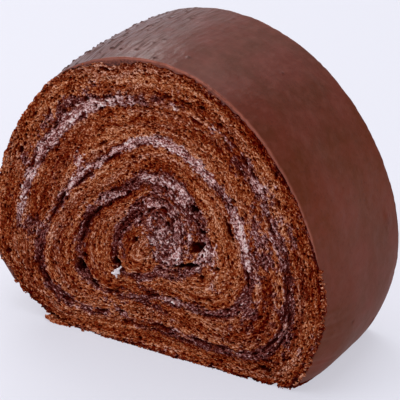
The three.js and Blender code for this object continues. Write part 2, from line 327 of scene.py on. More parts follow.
def foam(x, z, cell, stretch, seed):
    """Packed bubbles: how far a point is from the wall to the next bubble, 0 to 1, and a random
    number for its own bubble. Each lattice cell holds one bubble at a random place; distance along
    the grain counts for less than across it; the wall is where the two nearest are equally far."""
    places = np.random.default_rng(seed).random((3, NOISE_SPAN, NOISE_SPAN))
    along_x, along_z = grain_direction(x, z)
    u, v = x / cell + NOISE_SHIFT, z / cell + NOISE_SHIFT
    column, row = np.floor(u).astype(int), np.floor(v).astype(int)
    nearest = np.full(x.shape, np.inf)
    second, own = nearest, np.zeros(x.shape)
    for i in (-1, 0, 1):
        for j in (-1, 0, 1):
            a, b = (column + i) % NOISE_SPAN, (row + j) % NOISE_SPAN
            to_x = column + i + places[0, a, b] - u
            to_z = row + j + places[1, a, b] - v
            along = (to_x * along_x + to_z * along_z) / stretch
            across = (to_x * along_z - to_z * along_x) * stretch
            distance = np.hypot(along, across)
            closer = distance < nearest
            second = np.where(closer, nearest, np.minimum(second, distance))
            own = np.where(closer, places[2, a, b], own)
            nearest = np.minimum(nearest, distance)
    return (second - nearest) / (second + nearest), own


def pits(x, z, bubbles, deep, cup, burst):
    """Depth of the open bubbles in a foam: a step over the distance from the wall cups each one,
    and a step over its own random number opens it."""
    from_wall, own = foam(x, z, *bubbles)
    return deep * step_up(from_wall, *cup) * step_up(own, *burst)


def strongest(x, z, patches, ragged, fade):
    """The strongest of some slanted ovals: each one's last value, times a fade over the distance
    from its middle, which is counted in its half sizes and made ragged."""
    total = np.zeros(x.shape)
    for at_x, at_z, long, wide, slant, value in patches:
        lean = np.radians(slant)
        along = (x - at_x) * np.cos(lean) + (z - at_z) * np.sin(lean)
        across = (z - at_z) * np.cos(lean) - (x - at_x) * np.sin(lean)
        distance = np.hypot(along / long, across / wide) + ragged
        total = np.maximum(total, value * fade(distance))
    return total


def tear_depth(x, z, tears, seed):
    """Depth of ragged round hollows: depth times the root of 1 - distance^2."""
    ragged = layered_noise(x, z, (0.5, 0.9, seed), (0.3, 0.4, seed + 1)) - 0.4
    return strongest(x, z, tears, ragged, lambda away: np.sqrt(np.clip(1 - away**2, 0, 1)))


def cut_relief(x, z, tears, seed):
    """Depth of the cut crumb below the knife's plane, and of its pores alone.

    The crumb is a fine foam with some larger bubbles in it, over a slow unevenness; each bubble
    is open by a random share, and hollows where the sheet tore go deepest. The crumb is coarser
    near the table and near the log's edge."""
    fine, fine_own = foam(x, z, 0.62, 1.2, seed)
    fine = 0.5 * step_up(fine, 0, 0.7) * (0.2 + 0.8 * fine_own)
    middling = pits(x, z, (1.15, 1.3, seed + 1), 0.8, (0.1, 0.7), (0.35, 1))
    large = pits(x, z, (2.5, 1.3, seed + 2), 1.3, (0.4, 0.85), (0.85, 0.98))
    grit = lattice_noise(x, z, 0.36, seed + 4)
    coarser = 1 + 0.25 * step_up(-z, -30, -5) + 0.25 * step_up(np.hypot(x, z - SWIRL["z"]), 28, 40)
    pores = np.maximum.reduce([fine, middling, large]) * (0.6 + 0.8 * grit) * coarser
    uneven = layered_noise(x, z, (0.35, 4, seed + 3), (0.25, 1.6, seed + 6)) + 0.2 * grit
    torn = tear_depth(x, z, tears, seed + 5)
    # The pores alone, with half the tears' depth, set the painted shade of the cut.
    return uneven + np.maximum(pores, torn), np.maximum(pores, 0.5 * torn)


def profile_shares(front, inside, back, outside):
    """Round a profile: each point's share from the outer to the inner border, and from front to
    back. The outer wall's steps are closer near the two cuts, by a sine of their share."""
    wall = np.linspace(1, 0, outside + 1)[1:-1]
    wall = wall - 0.85 * np.sin(FULL_TURN * wall) / FULL_TURN
    through = np.linspace(0, 1, inside + 1)[1:-1]
    across = [np.linspace(0, 1, front + 1), 1 + 0 * through, np.linspace(1, 0, back + 1), 0 * wall]
    through = [np.zeros(front + 1), through, np.ones(back + 1), wall]
    return np.concatenate(across), np.concatenate(through)


def carry_profile(turns, outer, inner, rows, creases, outer_relief=None):
    """A closed band: the profile (front cut, inner wall, back cut, outer wall) carried round.

    rows gives how many steps each of the four takes; creases gives, for the outer and the inner
    border, how many turns back its filling lies and the filling's side there, or 0 for none;
    outer_relief presses the swollen outer wall in. Returns points (turn, profile, 3), their
    shares from outer to inner border and from front to back, and how deep their pores are."""
    across, through = profile_shares(*rows)
    flat = outer[:, None] + (inner - outer)[:, None] * across[None, :, None]
    if outer_relief is not None:
        flat = moved_out(flat, swelling(turns[:, None], through) * (1 - across))
        flat[..., 1] = np.maximum(flat[..., 1], 0)
    x, z = flat[..., 0], flat[..., 1]
    cuts = [cut_relief(x, z, FRONT_TEARS, 40), cut_relief(x, z, BACK_TEARS, 60)]
    width = length(outer - inner)
    for (lag, side), share in zip(creases, (across, 1 - across)):
        if side:
            groove = crease((turns - lag)[:, None] + 0 * share, side, share * width)
            # A groove's depth darkens the pore mask too: painted shade in the groove.
            cuts = [(d + 0.7 * groove, np.maximum(pores, 0.8 * groove)) for d, pores in cuts]
    (front_depth, front_pores), (back_depth, back_pores) = cuts
    front_depth = front_depth - FOOT_FORWARD * (1 - step_up(z, 0, 4)) * step_up(x, -30, -15)
    y = (front_depth - HALF_LENGTH) * (1 - through) + (HALF_LENGTH - back_depth) * through
    on_cut = np.abs(2 * through - 1) > 0.999
    pores = np.where(through < 0.5, front_pores, back_pores) * on_cut
    if outer_relief is not None:
        pressed, wall_pores = outer_relief(turns, y, x, z)
        wall = (across == 0) * 1.0
        flat = moved_out(flat, -pressed * wall)
        x, z = flat[..., 0], np.maximum(flat[..., 1], 0)
        pores = np.maximum(pores, wall_pores * wall)
    return np.stack([x, y, z], -1), across, through, pores


def finish_mesh(name, mesh, masks, material):
    """Stores the masks on the mesh's points, gives it its material and makes it an object."""
    for label, values in masks.items():
        is_vector = values.size == 3 * len(mesh.vertices)
        kind, field = ("FLOAT_VECTOR", "vector") if is_vector else ("FLOAT", "value")
        stored = mesh.attributes.new(label, kind, "POINT")
        stored.data.foreach_set(field, values.astype(np.float32).ravel())
    mesh.validate()
    mesh.materials.append(material)
    piece = bpy.data.objects.new(name, mesh)
    bpy.context.scene.collection.objects.link(piece)
    return piece


def band_piece(name, points, masks, material):
    """A grid of points, closed round its profile, as a mesh piece with capped ends."""
    steps, around = points.shape[:2]
    index = np.arange(steps * around).reshape(steps, around)
    following = np.roll(index, -1, axis=1)
    quads = np.stack([index[:-1], index[1:], following[1:], following[:-1]], -1).reshape(-1, 4)
    caps = [index[0, :], index[-1, ::-1]]
    sizes = np.concatenate([np.full(len(quads), 4), [around, around]])
    corners = np.concatenate([quads.ravel(), *caps])
    mesh = bpy.data.meshes.new(name)
    mesh.vertices.add(index.size)
    mesh.vertices.foreach_set("co", (points * MM).astype(np.float32).ravel())
    mesh.loops.add(len(corners))
    mesh.loops.foreach_set("vertex_index", corners.astype(np.int32))
    mesh.polygons.add(len(sizes))
    starts = np.concatenate([[0], np.cumsum(sizes)[:-1]])
    mesh.polygons.foreach_set("loop_start", starts.astype(np.int32))
    mesh.update(calc_edges=True)
    return finish_mesh(name, mesh, masks, material)


def linear(colour):
    """An sRGB hex colour as linear red, green, blue and alpha."""
    values = np.array([int(colour[i : i + 2], 16) for i in (1, 3, 5)]) / 255
    values = np.where(values <= 0.04045, values / 12.92, ((values + 0.055) / 1.055) ** 2.4)
    return (*values, 1)


def add_node(tree, kind, inputs, **settings):
    """Adds one shader node with its settings. inputs gives each socket, by name or number, a value,
    a hex colour, the socket that feeds it, or the node whose first output feeds it."""
    node = tree.nodes.new("ShaderNode" + kind)
    for key, value in settings.items():
        setattr(node, key, value)
    for key, value in inputs.items():
        if isinstance(value, bpy.types.Node):
            value = value.outputs[0]
        if isinstance(value, bpy.types.NodeSocket):
            tree.links.new(value, node.inputs[key])
        else:
            node.inputs[key].default_value = linear(value) if isinstance(value, str) else value
    return node


def new_material(name):
    """An empty material, the tree to fill, and the object coordinates."""
    material = bpy.data.materials.new(name)
    material.use_nodes = True
    tree = material.node_tree
    tree.nodes.clear()
    return material, tree, add_node(tree, "TexCoord", {}).outputs["Object"]


def finish_material(tree, colour, roughness, specular, height, strength, depth):
    """Closes a material with a bump and one Principled shader."""
    bump = add_node(tree, "Bump", {"Height": height, "Strength": strength, "Distance": depth})
    surface = {"Base Color": colour, "Roughness": roughness, "Specular IOR Level": specular}
    shader = add_node(tree, "BsdfPrincipled", {**surface, "Normal": bump})
    add_node(tree, "OutputMaterial", {"Surface": shader})
    return shader


def painted(tree, base, layers):
    """A base colour with others laid over it in turn, each by its share."""
    for share, colour in layers:
        node = add_node(tree, "Mix", {0: share, 6: base, 7: colour}, data_type="RGBA")
        base = node.outputs[2]
    return base


def weighed(tree, start, terms):
    """A start value plus each term times its weight."""
    total = start
    for term, weight in terms:
        total = add_node(tree, "Math", {0: term, 1: weight, 2: total}, operation="MULTIPLY_ADD")
    return total


# Crumb's colours by its tone, from the gaps between grains, dark with painted shade, to the grains'
# tops, pale with painted highlight, where the sponge is dry, where it is soaked, and where cream lies
# on it.
DRY_TONES = [(0, "#500000"), (0.3, "#741c04"), (0.55, "#9e4820"), (0.8, "#ca7c50"), (1, "#eeb090")]
SOAKED_TONES = [(0, "#2e0200"), (0.3, "#4a1009"), (0.55, "#702f29"), (0.8, "#a66c67"), (1, "#e4bab8")]
CREAM_TONES = [(0, "#4c0e0a"), (0.3, "#8a4038"), (0.5, "#cf9691"), (0.72, "#ffd8d4"), (1, "#fff4f0")]


def crumb_material(name):
    """Open crumb: every grain has a tone, and each of three ramps gives that tone a colour.

    Grains of 0.4 mm stand lighter than the gaps between them, clumped and in streaks, partly by their
    own colour and partly by painted highlight on them and painted shade between them. Thin lines of
    painted highlight run through them, and pores get painted shade, darker the deeper they go. The
    grain attribute lays them along the winding."""
    material, tree, place = new_material(name)
    grain, *masks = [
        add_node(tree, "Attribute", {}, attribute_name=mask)
        for mask in ("grain", "pore_shade", "stain", "cream")
    ]
    grain = grain.outputs["Vector"]
    pore_shade, stain, creamed = [mask.outputs["Fac"] for mask in masks]
    lying = add_node(tree, "VectorMath", {0: grain, 1: (0.6, 1, 1)}, operation="MULTIPLY")
    long = add_node(tree, "VectorMath", {0: grain, 1: (0.14, 1, 1)}, operation="MULTIPLY")
    fine, cells, streaks, patches, tints = [
        add_node(tree, "TexNoise", {"Vector": way, "Scale": 1 / (size * MM), "Detail": detail})
        for way, size, detail in (
            (lying, 0.42, 3), (lying, 0.9, 1), (long, 1.3, 3), (long, 3.5, 2), (long, 2.6, 3)
        )
    ]
    fine.inputs["Roughness"].default_value = 0.75
    # The tone is lighter towards the top: painted light from above.
    height = add_node(tree, "SeparateXYZ", {0: place}).outputs[2]
    height = add_node(tree, "MapRange", {0: height, 1: 0, 2: 80 * MM, 3: 0, 4: 0.05})
    # Thin lines where the cell noise crosses its middle, lightened as painted highlight on the bubble
    # walls.
    from_wall = add_node(tree, "Math", {0: cells, 1: 0.5}, operation="SUBTRACT")
    from_wall = add_node(tree, "Math", {0: from_wall}, operation="ABSOLUTE")
    wall = add_node(tree, "MapRange", {0: from_wall, 1: 0, 2: 0.09, 3: 1, 4: 0})
    lighter = [(fine, 2.3), (wall, 0.3), (streaks, 1), (patches, 0.8), (height, 1)]
    # The pore mask darkens the tone: painted shade.
    tone = weighed(tree, -1.55, [*lighter, (pore_shade, -0.75)])
    tinted = add_node(tree, "MapRange", {0: tints, 1: 0.48, 2: 0.68, 3: 0, 4: 0.34})
    stain = add_node(tree, "Math", {0: stain, 1: tinted}, operation="MAXIMUM")
    shades = []
    for tones in (DRY_TONES, SOAKED_TONES, CREAM_TONES):
        ramp = add_node(tree, "ValToRGB", {0: tone})
        stops = ramp.color_ramp.elements
        for position, colour in tones[1:-1]:
            stops.new(position).color = linear(colour)
        stops[0].color, stops[-1].color = linear(tones[0][1]), linear(tones[-1][1])
        shades.append(ramp)
    dry, soaked, creamy = shades
    colour = painted(tree, dry, [(stain, soaked), (creamed, creamy)])
    finish_material(tree, colour, 0.9, 0.02, fine, 0.7, 0.3 * MM)
    return material


SPONGE_CRUMB = crumb_material("Baked chocolate sponge, cut crumb")

# Where the cream is thick and pale: turn, share, reach. Elsewhere it has soaked in and is dark.
PALE_CREAM = [
    (0.002, 0.75, 0.01), (0.042, 0.9, 0.012), (0.075, 0.75, 0.012), (0.105, 0.95, 0.012),
    (0.13, 1, 0.02), (0.165, 1, 0.024), (0.215, 0.45, 0.01), (0.273, 0.5, 0.006),
    (0.322, 0.6, 0.006), (0.34, 0.6, 0.006), (0.398, 0.95, 0.007), (0.418, 0.45, 0.005),
    (0.432, 0.35, 0.006), (0.475, 0.4, 0.015), (1.03, 0.4, 0.02), (1.1, 0.7, 0.03),
    (1.18, 0.8, 0.03), (1.26, 0.9, 0.03), (1.33, 1, 0.03), (1.43, 1, 0.022), (1.465, 0.8, 0.012),
    (1.5, 0.7, 0.012), (1.7, 0.4, 0.03), (2.08, 0.38, 0.04), (2.25, 0.5, 0.03),
    (2.32, 0.75, 0.03), (2.52, 0.7, 0.05), (3.22, 0.8, 0.05), (3.36, 0.8, 0.05),
    (3.55, 0.7, 0.1),
]
# Where the crumb beside the cream has soaked dark as well: turn, share, reach.
SOAKED_CRUMB = [
    (0.07, 0.6, 0.03), (0.15, 0.7, 0.05), (0.25, 0.4, 0.02), (0.38, 1, 0.02), (0.5, 1, 0.06),
    (0.62, 0.7, 0.05), (0.72, 0.5, 0.05), (0.87, 0.7, 0.05), (0.96, 0.8, 0.02),
    (1.08, 0.7, 0.03), (1.3, 0.4, 0.1), (1.55, 1, 0.05), (1.7, 0.6, 0.05), (1.9, 0.7, 0.05),
    (2.08, 0.8, 0.08), (2.35, 0.9, 0.1), (2.7, 0.8, 0.1), (3.1, 0.9, 0.1), (3.5, 1, 0.2),
]
# Where the thin filling stayed as brown as the crumb: turn, share, reach.
BROWN_CREAM = [
    (-0.06, 0.9, 0.02), (0.31, 0.8, 0.04), (0.79, 0.4, 0.06), (1.0, 0.3, 0.02),
    (1.84, 0.3, 0.05),
]

# Smears of cream on the crumb: x, z, half length, half width, slant in degrees, share.
FRONT_SMEARS = [
    (-22.7, 50, 2.2, 1.8, 60, 0.8), (-24, 44, 4.5, 1.2, 58, 0.8),
    (-30.5, 34.5, 3, 0.8, 55, 0.45), (-27, 39, 0.9, 0.7, 0, 0.9), (-12, 63.5, 4, 1, 20, 0.3),
    (3, 50, 4, 1.8, 0, 0.45), (6, 46.5, 5, 2, -50, 0.65), (-1.5, 42.3, 4, 1.4, 25, 0.6),
    (5, 41.5, 4, 1.2, 10, 0.55), (9, 38, 3.5, 2, -60, 0.55), (4, 32.5, 4, 1.5, 30, 0.5),
    (9, 30.5, 5, 1.2, 12, 0.7), (1, 28.5, 3, 1.2, 30, 0.5), (16.8, 32, 1.6, 4.2, -5, 0.8),
    (2, 37, 9, 8, 0, 0.52), (-39.6, 37, 1, 1.8, 0, 0.5), (-40.3, 29, 1, 1.5, 0, 0.4),
    (-37, 27, 3, 1.2, -10, 0.55), (30.7, 55, 1.4, 1.4, 0, 0.7), (32.4, 50.5, 0.8, 2, 20, 0.5),
    (28, 34, 1.4, 4.5, 15, 0.5), (27, 22, 1.5, 3, 0, 0.3),
]
BACK_SMEARS = [
    (-6, 47, 6, 2.4, 25, 0.7), (4, 36, 5, 2.6, 0, 0.6), (26, 47, 3, 1.5, -50, 0.5),
    (-30, 44, 1.4, 3, -20, 0.5), (15, 62, 4, 1.3, -25, 0.45),
]
# Crumb soaked dark: the same values.
FRONT_STAINS = [
    (-36.3, 48.5, 2, 2.4, 0, 0.8), (1, 39, 4.5, 3.5, 0, 1), (-3, 41.5, 4, 2.5, 0, 0.9),
    (6, 36, 5, 5, 0, 0.9), (-37.5, 27.5, 4, 3, -25, 1), (-36.3, 19, 4.5, 1.3, -79, 0.8),
    (-28.5, 9, 6, 1.3, -29, 0.9), (-27, 63, 13, 2.8, 45, 0.7), (38.7, 20, 12, 2.2, 90, 1),
    (31.5, 38, 3.4, 8, 12, 0.9), (29.5, 45, 2.4, 5, 18, 0.7), (38.6, 33, 2, 7, 14, 0.7),
    (36, 50, 2.6, 8, 25, 0.55), (40, 42, 1.2, 7, 15, 0.6), (24.8, 59.5, 3.2, 4, 20, 1),
    (-40, 25.5, 3, 2, -60, 0.9), (3, 37, 10, 7, 0, 0.75), (34, 22, 9, 2.5, 88, 0.6),
    (27.5, 19, 3.5, 4, 0, 0.9), (11, 15.7, 12, 1.2, 3, 0.8), (-4, 14, 6, 1.4, -15, 0.8),
    (15, 6.3, 18, 1, 0, 1), (-11, 9, 5, 1.2, -30, 0.8), (26, 58.5, 3, 3.5, 20, 0.9),
    (-15, 40, 9, 2, 47, 0.9), (-21.5, 29, 2, 4.5, -12, 0.8), (-4.5, 38.5, 5, 3, 50, 0.9),
    (3, 48, 8, 4.5, -15, 0.8), (-10.5, 29, 1.5, 6, 5, 0.8), (5, 33, 8, 6, 0, 1),
    (9, 41, 5, 6, 20, 0.8), (-29, 36, 6, 1.6, 57, 0.7), (-23, 18, 3, 4, 20, 0.7),
    (29, 33, 2.5, 9, 8, 0.8), (33, 38, 2, 8, 10, 0.5), (27, 18, 3, 7, -12, 0.7),
    (24, 12, 7, 2.4, 30, 0.6), (2, 17, 12, 1.4, -8, 0.5), (-28.5, 60.5, 5, 2.6, 50, 0.9),
    (-21, 66.5, 5, 2, 30, 0.9), (-39, 46, 3, 2, 70, 0.8), (14, 65, 6, 2, -25, 0.4),
]
BACK_STAINS = [
    (-26, 57, 3, 3.6, 30, 0.8), (30, 35, 2, 8, 0, 0.6), (0, 34, 9, 7, 0, 0.7),
    (-24, 14, 7, 3, -30, 0.6), (12, 44, 7, 3, -40, 0.7),
]
# Where the pores' painted shade is weaker, so that the crumb is lighter: the same, but mm of depth at
# the end.
WEAKER_PORE_SHADE = [
    (-12, 0, 32, 7, 0, 0.24), (-43.5, 18.5, 4, 5, 0, 0.22), (-38.5, 53, 3, 5, 30, 0.14),
]

# The winding's radius where the sheet starts, and the one it keeps from a turn near its end on.
SHEET_RADIUS = 44
HEART_RADIUS, HEART_TURN = 6, 3.6


def smeared(x, z, smears, seed):
    """The strongest of some soft-edged patches, each broken up by noise."""
    ragged = layered_noise(x, z, (0.9, 1.3, seed), (0.7, 0.55, seed + 1)) - 0.8
    return strongest(x, z, smears, ragged, lambda away: 1 - step_up(away, 0.55, 1.15))


def crumb_masks(points, turns, across, through, pores, width, in_cream):
    """What colours each point: the painted shade of its pore, by how deep the pore is, how much cream
    lies on it, how soaked it is, and its place along and across the winding.

    In the filling, cream shows in its pale pools. In the sponge it fades by e to the minus
    distance, and soaked crumb by a bell; the sheet's outer skin and crumb packed over the base
    are darker too. Noise of two sizes frays every border. The place along the winding is the sum
    of its radii, which shrink by the pitch each turn, times a full turn."""
    x, z = points[..., 0], points[..., 2]
    turn = np.broadcast_to(turns[:, None], x.shape)
    front = through < 0.5
    from_outer = across * width
    speck = lattice_noise(x, z, 0.5, 81) - 0.5
    patch = lattice_noise(x, z, 1.7, 82) - 0.5
    cream = np.where(front, smeared(x, z, FRONT_SMEARS, 83), smeared(x, z, BACK_SMEARS, 85))
    stain = np.where(front, smeared(x, z, FRONT_STAINS, 87), smeared(x, z, BACK_STAINS, 89))
    if in_cream:
        pale = np.clip(bumps(turn, PALE_CREAM), 0, 1)
        cream = step_up(np.maximum(cream, pale) + 0.9 * speck + 0.7 * patch, 0.4, 0.85)
        stain = 0.9 - np.clip(bumps(turn, BROWN_CREAM), 0, 0.9)
        stain = step_up(stain + 0.5 * speck + 0.6 * patch, 0.3, 0.8)
    else:
        to_own = np.where(turn < SHEET_END, (1 - across) * width, np.inf)
        to_earlier = np.where(turn - 1 > SHEET_START, from_outer, np.inf)
        outermost = (turn < 1 + SHEET_START) * step_up(turn, 0.24, 0.3)
        skin = np.exp(-((from_outer / 2.2) ** 2)) * outermost
        packed = 0.2 * step_up(-z, -30, -12) * step_up(z, 2, 7)
        packed = packed + 0.3 * step_up(lattice_noise(x, z, 6, 91), 0.45, 0.9)
        stain = np.maximum.reduce([stain, 0.62 * skin, packed])
        for own, away, reach in ((turn, to_own, 1.5), (turn - 1, to_earlier, 1.3)):
            pale = np.clip(bumps(own, PALE_CREAM), 0, 1)
            soaked = np.clip(0.2 + bumps(own, SOAKED_CRUMB), 0, 1)
            cream = np.maximum(cream, pale * np.exp(-away / 0.5))
            stain = np.maximum(stain, soaked * np.exp(-((away / reach) ** 2)))
        cream = step_up(cream + 0.9 * speck + 0.6 * patch, 0.45, 0.95)
        stain = step_up(stain + 0.4 * speck + 0.6 * patch, 0.4, 0.85)
        # How deep a pore is sets its painted shade: the outer skin adds to it, and a few patches take
        # some off.
        pores = pores + 0.4 * skin - front * smeared(x, z, WEAKER_PORE_SHADE, 101)
    pore_shade = np.clip(pores / DEEPEST_PORE, 0, 1)
    wound = np.minimum(turns, HEART_TURN)
    arc = SHEET_RADIUS * wound - SWIRL["pitch"] * wound**2 / 2 + HEART_RADIUS * (turns - wound)
    arc = FULL_TURN * arc[:, None] + 0 * x
    grain = np.stack([arc, from_outer, points[..., 1]], -1) * MM
    return dict(pore_shade=pore_shade, cream=cream, stain=stain, grain=grain)


FOAM_START = 200  # mm, the part of the endless foam that lies on the log's outside


def outside_relief(turns, y, x, z):
    """The log's outside, in arc and length: a rough skin with open pores where it is bare, sunk
    under the coat, and standing out over the coat's dragged edge."""
    arc = turns[:, None] * ROUND_LOG + 0 * y
    fine = pits(arc, y + FOAM_START, (0.9, 1, 71), 0.35, (0.1, 0.6), (0.3, 0.9))
    large = pits(arc, y + FOAM_START, (2.4, 1, 72), 0.6, (0.4, 0.8), (0.6, 0.9))
    pores = np.maximum(fine, large)
    rough = layered_noise(arc, y, (0.5, 3.5, 73), (0.5, 1.2, 74))
    wears_coat = coated(turns)[:, None]
    to_edge = coat_edge(turns[:, None], y) - np.abs(y)
    over_edge = wears_coat * (1 - step_up(to_edge, -0.3, 0.3)) * dragged(turns)[:, None] * (y < 0)
    pressed = (1 - wears_coat) * (pores + (z > 0.5) * rough)
    pressed = pressed + wears_coat * step_up(to_edge, 0.2, 1.2)
    pressed = pressed + over_edge * (0.5 * pores - 0.9 * rough)
    return pressed, np.maximum(1 - wears_coat, over_edge) * pores


def crumb_piece(name, turns, borders, rows, creases, material, in_cream, outer_relief=None):
    """A stretch of sponge or cream between its outer and inner border, coloured by its masks."""
    points, *shares = carry_profile(turns, *borders, rows, creases, outer_relief)
    width = length(borders[0] - borders[1])
    return band_piece(name, points, crumb_masks(points, turns, *shares, width, in_cream), material)


def sponge_piece(name, start, end, step, rows, creases, outer_relief=None):
    """One stretch of the sheet, in steps of so many mm along its outer border, as a closed piece
    that stands for part of the sponge."""
    coarse = sheet_borders(np.linspace(start, end, 400))[0]
    steps = int(length(np.diff(coarse, axis=0)).sum() / step)
    turns = np.linspace(start, end, steps + 1)
    borders = sheet_borders(turns)
    piece = crumb_piece(name, turns, borders, rows, creases, SPONGE_CRUMB, False, outer_relief)
    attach(piece, "root")
    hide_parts("sponge")


# Each stretch's first and last turn and its step; its steps across the front cut, through the
# roll inside, across the back cut, and along the outside; and then, for its outer and its inner
# border, how many turns back the filling lies there and with which side.
SECOND = SHEET_START + 1
COAT_MIDDLE, FOURTH = 0.45, 2.82
OUTERMOST = [(0, 0), (0, 1)]
INSIDE = [(1, -1), (0, 1)]
INNERMOST = [(1, -1), (0, 0)]
BARE = (OUTERMOST, outside_relief)
sponge_piece("sponge_sheet_end", SHEET_START, COAT_START, 0.22, (40, 6, 24, 100), *BARE)
sponge_piece("sponge_under_coat", COAT_START, COAT_MIDDLE, 0.21, (50, 6, 30, 26), *BARE)
sponge_piece("sponge_right_side", COAT_MIDDLE, COAT_END, 0.21, (50, 6, 30, 80), *BARE)
sponge_piece("sponge_base", COAT_END, SECOND, 0.22, (54, 6, 32, 100), *BARE)
sponge_piece("sponge_second_winding", SECOND, SECOND + 1, 0.23, (52, 6, 30, 6), INSIDE)
sponge_piece("sponge_third_winding", SECOND + 1, FOURTH, 0.21, (54, 6, 32, 6), INSIDE)
sponge_piece("sponge_fourth_winding", FOURTH, SHEET_END, 0.2, (46, 6, 28, 6), INSIDE)
sponge_piece("sponge_heart", SHEET_END, SHEET_END + 1, 0.22, (60, 4, 36, 6), INNERMOST)

# ---- The cream ---------------------------------------------------------------------------------
# Chocolate cream, spread thin over the sheet before it was rolled. It soaked into the crumb and
# turned dull mauve-brown, except in a few pools, where it stayed pale pinkish and full of bubbles.

# It starts just inside the sheet, in steps of about 0.3 mm.
cream_turns = np.linspace(SHEET_START + 0.004, SHEET_END, 2700)
cream_borders = [cream_border(cream_turns, side) for side in (1, -1)]
cream_rows, cream_creases = (13, 4, 9, 4), [(0, 1), (0, -1)]
whipped_cream = crumb_material("Whipped chocolate cream, soaked in")
cream = crumb_piece(
    "cream_swirl", cream_turns, cream_borders, cream_rows, cream_creases, whipped_cream, True
)
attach(cream, "root")
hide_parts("cream")

# ---- The chocolate coat ------------------------------------------------------------------------
# Chocolate glaze, poured over the log and smoothed round it with a palette knife, set to a thin
# satin skin. The knife that cut the slice chipped its edges, and dragged crumb over the lower one.

CORNER = 0.3  # mm, how softly the cut edge turns into the skin
ROUNDED_OFF = 0.35  # mm, how much of the corner is gone
TUCK = 0.8  # mm, how far the unseen inner side lies under the crumb's surface, away from the cuts

# Marks in the skin: turn, place along the roll, half length round and along it, depth, darkness.
COAT_MARKS = [
    (0.487, 14.5, 2.2, 1.6, -0.3, 0.1), (0.572, 8.8, 1.4, 0.5, 0.5, 0.8),
    (0.547, -6.8, 0.6, 0.5, 0.2, 0.5), (0.237, -7.5, 0.6, 0.5, -0.3, 0.9),
    (0.248, -17.8, 0.5, 0.5, -0.3, 0.9), (0.23, 9, 0.8, 0.6, -0.3, 0.7),
    (0.27, -13, 0.4, 0.4, -0.3, 0.6), (0.33, 4, 0.4, 0.4, -0.2, 0.5),
]
# The painted highlight along the cut edge: turn, share, reach.
EDGE_HIGHLIGHT = [
    (0.2, 0.5, 0.03), (0.27, 0.9, 0.04), (0.35, 1, 0.05), (0.45, 1, 0.025),
]
EDGE_HIGHLIGHT_WIDTH = 0.65  # mm, across the cut edge
EDGE_HIGHLIGHT_AT_BACK = 0.3  # how strong the painted highlight is at the back cut


def coat_relief(turns, y):
    """How far the skin is pressed in, how dark its freckles are, and where its painted sheen goes.

    Slow waves; the palette knife's marks along the roll, a little slanted, deepest at the upper
    left, where set drips stand up too; a few dents and freckles, each a bell."""
    arc = turns[:, None] * ROUND_LOG + 0 * y
    slow = layered_noise(arc, y, (0.35, 15, 91), (0.17, 5, 94), (0.06, 1.9, 90))
    upper_left = (step_up(turns, -0.09, 0.13) * (1 - step_up(turns, 0.19, 0.29)))[:, None]
    slanted = arc - 0.2 * y
    marks = lattice_noise(slanted, y / 10, 1.5, 92) + 0.6 * lattice_noise(slanted, y / 5, 0.7, 93)
    spot, own = foam(arc, y + FOAM_START, 2.2, 1, 97)
    far_left = upper_left * np.exp(-(((turns - 0.15) / 0.04) ** 2))[:, None]
    drips = step_up(spot, 0.4, 0.75) * step_up(own + 0.4 * far_left, 0.75, 0.85) * upper_left
    pressed = slow + marks * (0.03 + 0.25 * upper_left) - 0.35 * drips
    freckles = drips
    ragged = 0.5 * (lattice_noise(arc, y, 0.8, 99) - 0.5)
    for turn, along, long, wide, deep, dark in COAT_MARKS:
        distance = np.hypot((turns[:, None] - turn) * ROUND_LOG / long, (y - along) / wide)
        bell = np.exp(-((distance + ragged) ** 2))
        pressed, freckles = pressed + deep * bell, np.maximum(freckles, dark * bell)
    return pressed, freckles, upper_left + 0 * y


